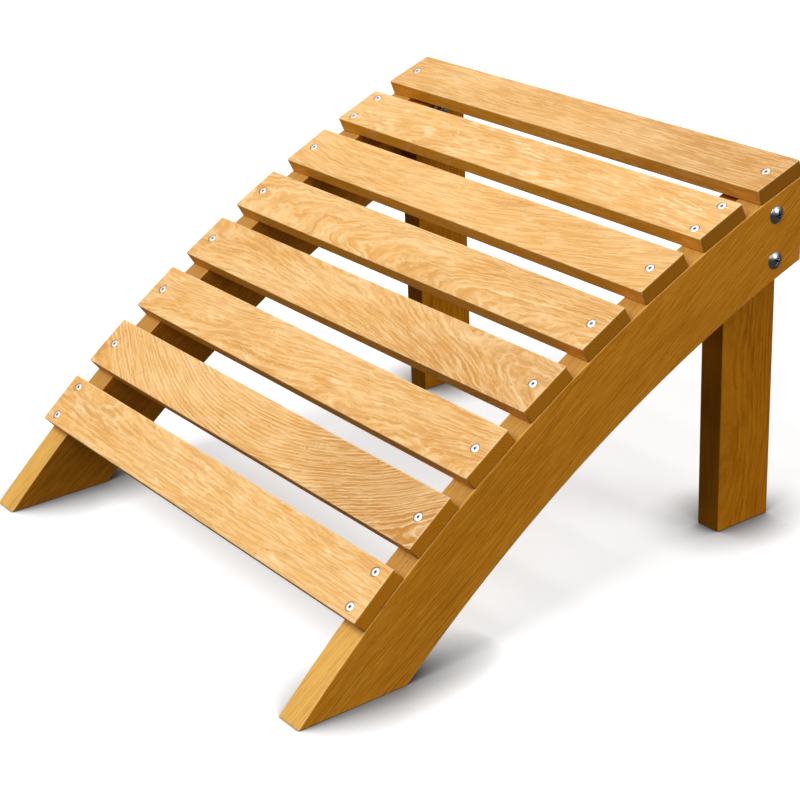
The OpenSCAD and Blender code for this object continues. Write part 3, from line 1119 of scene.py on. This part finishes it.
@dataclass
class Slats:
    """The eight slats, each a rounded board with countersunk holes."""

    curve: RailCurve
    trees: GeometryTrees
    groups: WoodGroups
    thickness: float = 0.0145
    edge: float = 0.0012
    screw_inset: float = 0.015
    twin_spacing: float = 0.032
    twins: tuple[int, ...] = (0, 6)
    # Each row has WoodFinish's fields in order: the rings, the pith's place and lean, the wander and
    # its scale, the seed, the veins, the wisps, the end's painted shade, the deep colour and the bow.
    finishes: tuple[WoodFinish, ...] = (
        WoodFinish(HONEY, 1.9, 42.0, 40.0, 0.05, 0.06, 2.0, 8.0, 1.0, 0.6, 0.5, 1.0, (0.02, 0.02)),
        WoodFinish(HONEY, 3.0, -95.0, 22.0, 0.0, 0.02, 1.5, 14.0, 2.3, 1.35, 0.35, 0.98, (0.04, 0.66), 1.4),
        WoodFinish(HONEY, 2.1, -34.0, 36.0, 0.04, 0.05, 2.6, 12.0, 3.1, 0.6, 0.4, 0.94, (0.1, 0.24)),
        WoodFinish(HONEY, 1.9, 38.0, 42.0, -0.05, 0.07, 2.4, 10.0, 4.7, 0.7, 0.3, 0.86, (0.12, 0.46), -0.5),
        WoodFinish(HONEY, 2.2, -16.0, 34.0, -0.03, 0.09, 4.0, 13.0, 5.2, 0.85, 0.3, 0.76, (0.06, 0.24)),
        WoodFinish(HONEY, 2.0, 50.0, 44.0, 0.06, -0.06, 1.8, 9.0, 6.6, 0.5, 0.3, 0.68, (0.0, 0.12), 0.4),
        WoodFinish(HONEY, 2.1, -42.0, 38.0, -0.04, 0.08, 2.6, 11.0, 7.9, 0.45, 0.75, 0.6, (0.0, 0.0)),
        WoodFinish(HONEY, 2.0, 62.0, 45.0, 0.03, 0.03, 1.6, 7.0, 8.4, 0.6, 0.15, 0.56, (0.14, 0.56)),
    )

    def cutter(self) -> bpy.types.Object:
        """Make the solid that a countersunk hole takes out, with its top at the slat's face."""
        rings = [Ring(0, 1), Ring(4.3, 1), Ring(4.3, -0.45), Ring(2.2, -2.9), Ring(2.2, -17), Ring(0, -17)]
        return turned("countersink", rings, 32)

    def build(self) -> None:
        """Build and dress the slats from the front to the back."""
        tree = self.trees.slat()
        cutter = self.cutter()
        left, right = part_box("rail_left")[0].x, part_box("rail_right")[1].x
        for number, finish in enumerate(self.finishes):
            node = f"slat_{number + 1}"
            low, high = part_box(node)
            slope = self.curve.slope(number)
            face = Vector((0.0, -math.sin(slope), math.cos(slope)))
            middle = (low + high) / 2
            lie = Lie(middle, Vector((1.0, 0.0, 0.0)), face)
            off = middle - self.curve.point(slope, self.curve.seat_radius + self.thickness / 2)
            LOG.info("%s lies %.3f mm from the rule", node, off.length / MM)
            values = {
                "Length": high.x - low.x,
                "Width": self.curve.slat_width,
                "Thickness": self.thickness,
                "Edge Radius": self.edge,
                "Slope": slope,
                "Middle": middle,
                "Screw Spread": right - left - 2 * self.screw_inset,
                "Twin Spacing": self.twin_spacing if number in self.twins else 0.0,
                "Cutter": cutter,
                "Material": finish.material(f"slat_wood_{number + 1}", lie, self.groups),
            }
            settle_in(settled(f"slat_board_{number + 1}", tree, values), node, "slat_wood")
        bpy.data.objects.remove(cutter)


@dataclass
class Legs:
    """The two rear legs, upright boards with sloping tops."""

    curve: RailCurve
    trees: GeometryTrees
    groups: WoodGroups
    edge: float = 0.0012

    def build(self) -> None:
        """Build and dress both legs."""
        tree = self.trees.leg()
        for side, seed in ((Side.LEFT, 21.7), (Side.RIGHT, 25.1)):
            node = "leg_" + side.word
            low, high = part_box(node)
            middle = (low + high) / 2
            slope = math.asin((self.curve.centre_y - middle.y) / self.curve.radius)
            rise = math.tan(slope)
            width = high.y - low.y
            lie = Lie(middle, Vector((0.0, 0.0, 1.0)), Vector((1.0, 0.0, 0.0)))
            finish = WoodFinish(
                BROWN,
                ring_spacing=2.4,
                pith_across=30.0,
                pith_depth=55.0,
                lean_across=0.02,
                lean_through=0.03,
                wander=3.0,
                wander_scale=6.0,
                seed=seed,
                veins=0.9,
                wisps=0.1,
                # Painted shade: the leg darkens toward its top, under the rail.
                deep=(0.0, 0.34),
            )
            values = {
                "Height": high.z - low.z - rise * width / 2,
                "Width": width,
                "Thickness": high.x - low.x,
                "Edge Radius": self.edge,
                "Top Rise": rise,
                "Foot": Vector((middle.x, middle.y, low.z)),
                "Material": finish.material("leg_wood_" + side.word, lie, self.groups),
            }
            settle_in(settled("leg_board_" + side.word, tree, values), node, "leg_wood")


@dataclass
class SlatScrews:
    """The countersunk screws that hold the slats, in one row along each rail."""

    curve: RailCurve
    slats: Slats
    trees: GeometryTrees
    plating: bpy.types.NodeTree
    sink: float = 0.0001
    sides: int = 24
    # A shaded ring takes painted shade: in the recess and round the rim of the head.
    rings: tuple[Ring, ...] = (
        Ring(0, -1.3, shaded=0.8),
        Ring(0.95, -1.25, Outline.STAR, shaded=0.8),
        Ring(1.2, -0.12, Outline.STAR, shaded=0.7),
        Ring(1.32, 0, Outline.STAR, shaded=0.2),
        Ring(1.6, 0.03),
        Ring(2.6, 0.08),
        Ring(3.3, 0.03),
        Ring(3.6, -0.08, shaded=0.1),
        Ring(3.85, -0.26, shaded=0.9),
        Ring(3.85, -0.4, shaded=1.0),
        Ring(2.0, -2.6, shaded=1.0),
        Ring(2.0, -33.8),
        Ring(0.5, -37.8),
        Ring(0, -37.9),
    )

    def build(self) -> None:
        """Build and dress the row of screws on each side."""
        tree = self.trees.screw_row()
        screw = turned("slat_screw", self.rings, self.sides)
        metal = BRIGHT_ZINC.material("screw_zinc", self.plating)
        for side in Side:
            low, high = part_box("rail_" + side.word)
            outer = high.x if side is Side.RIGHT else low.x
            values = self.curve.inputs() | {
                "Slats": self.curve.slats,
                "Row X": outer - side.value * self.slats.screw_inset,
                "Head Radius": self.curve.seat_radius + self.slats.thickness - self.sink,
                "Twin Spacing": self.slats.twin_spacing,
                "First Twin": float(self.slats.twins[0]),
                "Second Twin": float(self.slats.twins[1]),
                "Seed": 3 + side.value,
                "Part": screw,
                "Material": metal,
            }
            piece = settled("screw_row_" + side.word, tree, values)
            settle_in(piece, "slat_screws_" + side.word, "screw_metal")
        bpy.data.objects.remove(screw)


@dataclass
class LegFixings:
    """The bolts, washers and nuts that hold the legs to the rails."""

    trees: GeometryTrees
    plating: bpy.types.NodeTree
    sides: int = 48
    spacing: float = 0.039
    head_diameter: float = 15.0
    head_height: float = 3.2
    bolt_diameter: float = 6.0
    washer_diameter: float = 16.0
    washer_thickness: float = 1.6
    nut_flats: float = 10.0
    nut_thickness: float = 5.0

    def bolt(self, length: float) -> bpy.types.Object:
        """Make a bolt with a domed head and a cross recess.

        Args:
            length: The length under the head, in millimetres.

        Returns:
            The bolt, with its head on +Z above the origin.
        """
        top, rim = self.head_height, self.head_diameter / 2
        ball = (rim**2 + top**2) / (2 * top)
        cross = rim / 2
        shank = self.bolt_diameter / 2
        # A shaded ring takes painted shade: in the cross recess and round the rim of the head.
        rings = [
            Ring(0, top - 1.9, shaded=1.0),
            Ring(cross * 0.62, top - 1.7, Outline.CROSS, shaded=1.0),
            Ring(cross * 0.94, top - 0.25, Outline.CROSS, 0.0, ball, 0.8),
            Ring(cross * 1.04, top, Outline.CROSS, 0.05, ball),
            Ring(cross * 1.2, top, Outline.CROSS, 0.55, ball),
        ]
        rings += [Ring(rim * share, top, dome=ball) for share in (0.72, 0.82, 0.9, 0.95)]
        rings += [Ring(rim * 0.985, 0.42), Ring(rim * 0.998, 0.22), Ring(rim * 0.99, 0.04, shaded=0.7)]
        rings += [Ring(rim * 0.96, 0, shaded=1.0)]
        rings += [Ring(shank, 0), Ring(shank, -length + 12)]
        thread = []
        turn = -length + 12
        while turn > -length + 1.2:
            thread += [Ring(shank, turn - 0.3), Ring(shank * 0.88, turn - 0.6)]
            turn -= 0.9
        rings += thread + [Ring(shank * 0.8, -length), Ring(0, -length)]
        return turned("leg_bolt", rings, self.sides)

    def washer(self, seat: float) -> bpy.types.Object:
        """Make a washer whose upper face lies at this distance under the rail's face."""
        out, bore, thick = self.washer_diameter / 2, self.bolt_diameter / 2 + 0.05, self.washer_thickness
        rings = [
            Ring(bore + 0.1, -seat),
            Ring(out - 0.3, -seat),
            Ring(out, -seat - 0.3),
            Ring(out, -seat - thick + 0.35),
            Ring(out - 0.12, -seat - thick + 0.1),
            Ring(out - 0.4, -seat - thick),
            Ring(bore + 0.3, -seat - thick),
            Ring(bore, -seat - thick + 0.25),
            Ring(bore, -seat - 0.1),
        ]
        return turned("washer", rings, self.sides, ring_shaped=True)

    def nut(self, seat: float) -> bpy.types.Object:
        """Make a chamfered hexagon nut whose upper face lies at this distance under the rail's face."""
        flat, bore, thick = self.nut_flats / 2, self.bolt_diameter / 2 + 0.05, self.nut_thickness
        rings = [
            Ring(bore + 0.5, -seat),
            Ring(flat * 0.97, -seat),
            Ring(flat, -seat - 0.35, Outline.HEXAGON, 0.35),
            Ring(flat, -seat - 0.75, Outline.HEXAGON),
            Ring(flat, -seat - thick + 0.75, Outline.HEXAGON),
            Ring(flat, -seat - thick + 0.35, Outline.HEXAGON, 0.35),
            Ring(flat * 0.97, -seat - thick),
            Ring(bore + 0.5, -seat - thick),
            Ring(bore, -seat - thick + 0.5),
            Ring(bore, -seat - 0.5),
        ]
        return turned("nut", rings, self.sides, ring_shaped=True)

    def build(self) -> None:
        """Build and dress the fixings of both legs."""
        tree = self.trees.bolt_pair()
        dark = DARK_ZINC.material("bolt_zinc", self.plating)
        plate = WASHER_ZINC.material("washer_zinc", self.plating)
        hex_metal = NUT_ZINC.material("nut_zinc", self.plating)
        for side in Side:
            rail_low, rail_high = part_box("rail_" + side.word)
            leg_low, leg_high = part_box("leg_" + side.word)
            low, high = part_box("leg_bolts_" + side.word)
            outer = rail_high.x if side is Side.RIGHT else rail_low.x
            inner = leg_low.x if side is Side.RIGHT else leg_high.x
            wood = abs(outer - inner) / MM
            head = self.head_height
            length = (high.x - low.x) / MM - head
            parts = (
                (self.bolt(length), "bolt_pair_", "leg_bolts_", dark, "bolt_metal"),
                (self.washer(wood), "washer_pair_", "bolt_washers_", plate, "washer_metal"),
                (self.nut(wood + self.washer_thickness), "nut_pair_", "bolt_nuts_", hex_metal, "nut_metal"),
            )
            for part, name, node, metal, slot in parts:
                values = {
                    "Spacing": self.spacing,
                    "Face": Vector((outer, (low.y + high.y) / 2, (low.z + high.z) / 2)),
                    "Side": float(side.value),
                    "Seed": 5 + side.value,
                    "Part": part,
                    "Material": metal,
                }
                settle_in(settled(name + side.word, tree, values), node + side.word, slot)
                bpy.data.objects.remove(part)


# ---------------------------------------------------------------- the studio


@dataclass(frozen=True)
class View:
    """Where the camera stands and how it is turned, in metres and degrees."""

    place: Triple = (1.3056, -0.9015, 0.7955)
    azimuth: float = 54.6504
    elevation: float = 23.3903
    roll: float = -2.539
    lens: float = 88.669

    def turn(self) -> Matrix:
        """Return the camera's rotation."""
        around, up, roll = (math.radians(a) for a in (self.azimuth, self.elevation, self.roll))
        back = Vector((math.sin(around) * math.cos(up), -math.cos(around) * math.cos(up), math.sin(up)))
        right = Vector((math.cos(around), math.sin(around), 0.0))
        above = back.cross(right)
        level = right * math.cos(roll) + above * math.sin(roll)
        upright = above * math.cos(roll) - right * math.sin(roll)
        return Matrix((level, upright, back)).transposed()


@dataclass(frozen=True)
class Lamp:
    """A square soft light: its name, its power in watts, its side in metres and its place."""

    name: str
    power: float
    size: float
    place: Triple
    aim: Triple = (0.0, 0.0, 0.15)

    def hang(self) -> None:
        """Hang the light so that it shines on the footstool."""
        light = bpy.data.lights.new(self.name, "AREA")
        light.shape = "SQUARE"
        light.size = self.size
        light.energy = self.power
        made = placed(self.name, light)
        made.location = self.place
        made.rotation_euler = (Vector(self.aim) - Vector(self.place)).to_track_quat("-Z", "Y").to_euler()


@dataclass
class Studio:
    """A pale floor, a soft sky, a light in front, one at the side, one behind, and the camera."""

    view: View = View()
    floor_reach: float = 30.0
    glow: float = 0.47
    shadow_reach: float = 0.06
    shadow_depth: float = 2.6
    lamps: tuple[Lamp, ...] = (
        Lamp("key", 350.0, 4.0, (-0.1, -4.2, 5.2)),
        Lamp("fill", 108.0, 2.5, (4.9, 2.3, 2.8)),
        Lamp("rear", 85.0, 3.0, (-3.0, 4.8, 1.7)),
    )

    def floor(self) -> None:
        """Lay the floor, which gives off a little light so that its shadows stay pale."""
        mesh = bpy.data.meshes.new("floor")
        r = self.floor_reach
        mesh.from_pydata([(-r, -r, 0), (r, -r, 0), (r, r, 0), (-r, r, 0)], [], [(0, 1, 2, 3)])
        made = placed("floor", mesh)
        paper = bpy.data.materials.new("floor_paper")
        g = new_tree(paper)
        where = g.out("ShaderNodeTexCoord", output="Object")
        near = g.out("ShaderNodeAmbientOcclusion", {"Distance": self.shadow_reach}, "AO", samples=16)
        open_air = g.math("POWER", near, self.shadow_depth)
        shade = g.between(g.noise(where, 3.0, 2.0, 0.5), 0.78, 0.8) * open_air
        feeds = {
            "Base Color": g.xyz(shade, shade, shade),
            "Emission Strength": open_air * self.glow,
            "Roughness": 0.9,
            "Specular IOR Level": 0.0,
            "Emission Color": opaque(WHITE),
        }
        g.shade(feeds)
        mesh.materials.append(paper)
        made.visible_diffuse = False
        made.visible_glossy = False

    def sky(self) -> None:
        """Light the room softly: brightest overhead, almost dark below the horizon, white to the camera."""
        world = bpy.data.worlds.new("studio")
        bpy.context.scene.world = world
        g = new_tree(world)
        up = g.parts(g.out("ShaderNodeTexCoord", output="Generated"))[2]
        soft = g.between(g.ramp(up, -0.2, 0.02), 0.02, g.between(g.ramp(up, 0.0, 0.9), 0.13, 0.5))
        crisp = g.between(g.ramp(up, 0.0, 0.7), 0.08, 1.2)
        rays = g.answers("ShaderNodeLightPath")
        level = g.between(rays["Is Camera Ray"], g.between(rays["Is Glossy Ray"], soft, crisp), 1.0)
        g.shade({"Color": opaque(WHITE), "Strength": level}, "ShaderNodeBackground", "World")

    def camera(self) -> None:
        """Set up the camera."""
        data = bpy.data.cameras.new("camera")
        data.lens = self.view.lens
        data.sensor_width = 36.0
        data.clip_end = 200.0
        made = placed("camera", data)
        made.matrix_world = Matrix.Translation(self.view.place) @ self.view.turn().to_4x4()
        bpy.context.scene.camera = made

    def build(self) -> None:
        """Build the whole studio."""
        self.floor()
        self.sky()
        for lamp in self.lamps:
            lamp.hang()
        self.camera()
        bpy.context.scene.view_settings.view_transform = "Standard"
        LOG.info("studio ready")


def main() -> None:
    """Build the footstool, piece by piece, and the studio around it."""
    logging.basicConfig(level=logging.INFO, format="%(name)s: %(message)s")
    Studio().build()
    curve = RailCurve()
    trees = GeometryTrees()
    wood = WoodGroups()
    plating = zinc_plating()
    slats = Slats(curve, trees, wood)
    for assembly in (
        Rails(curve, trees, wood),
        slats,
        Legs(curve, trees, wood),
        SlatScrews(curve, slats, trees, plating),
        LegFixings(trees, plating),
    ):
        assembly.build()


if __name__ == "__main__":
    main()
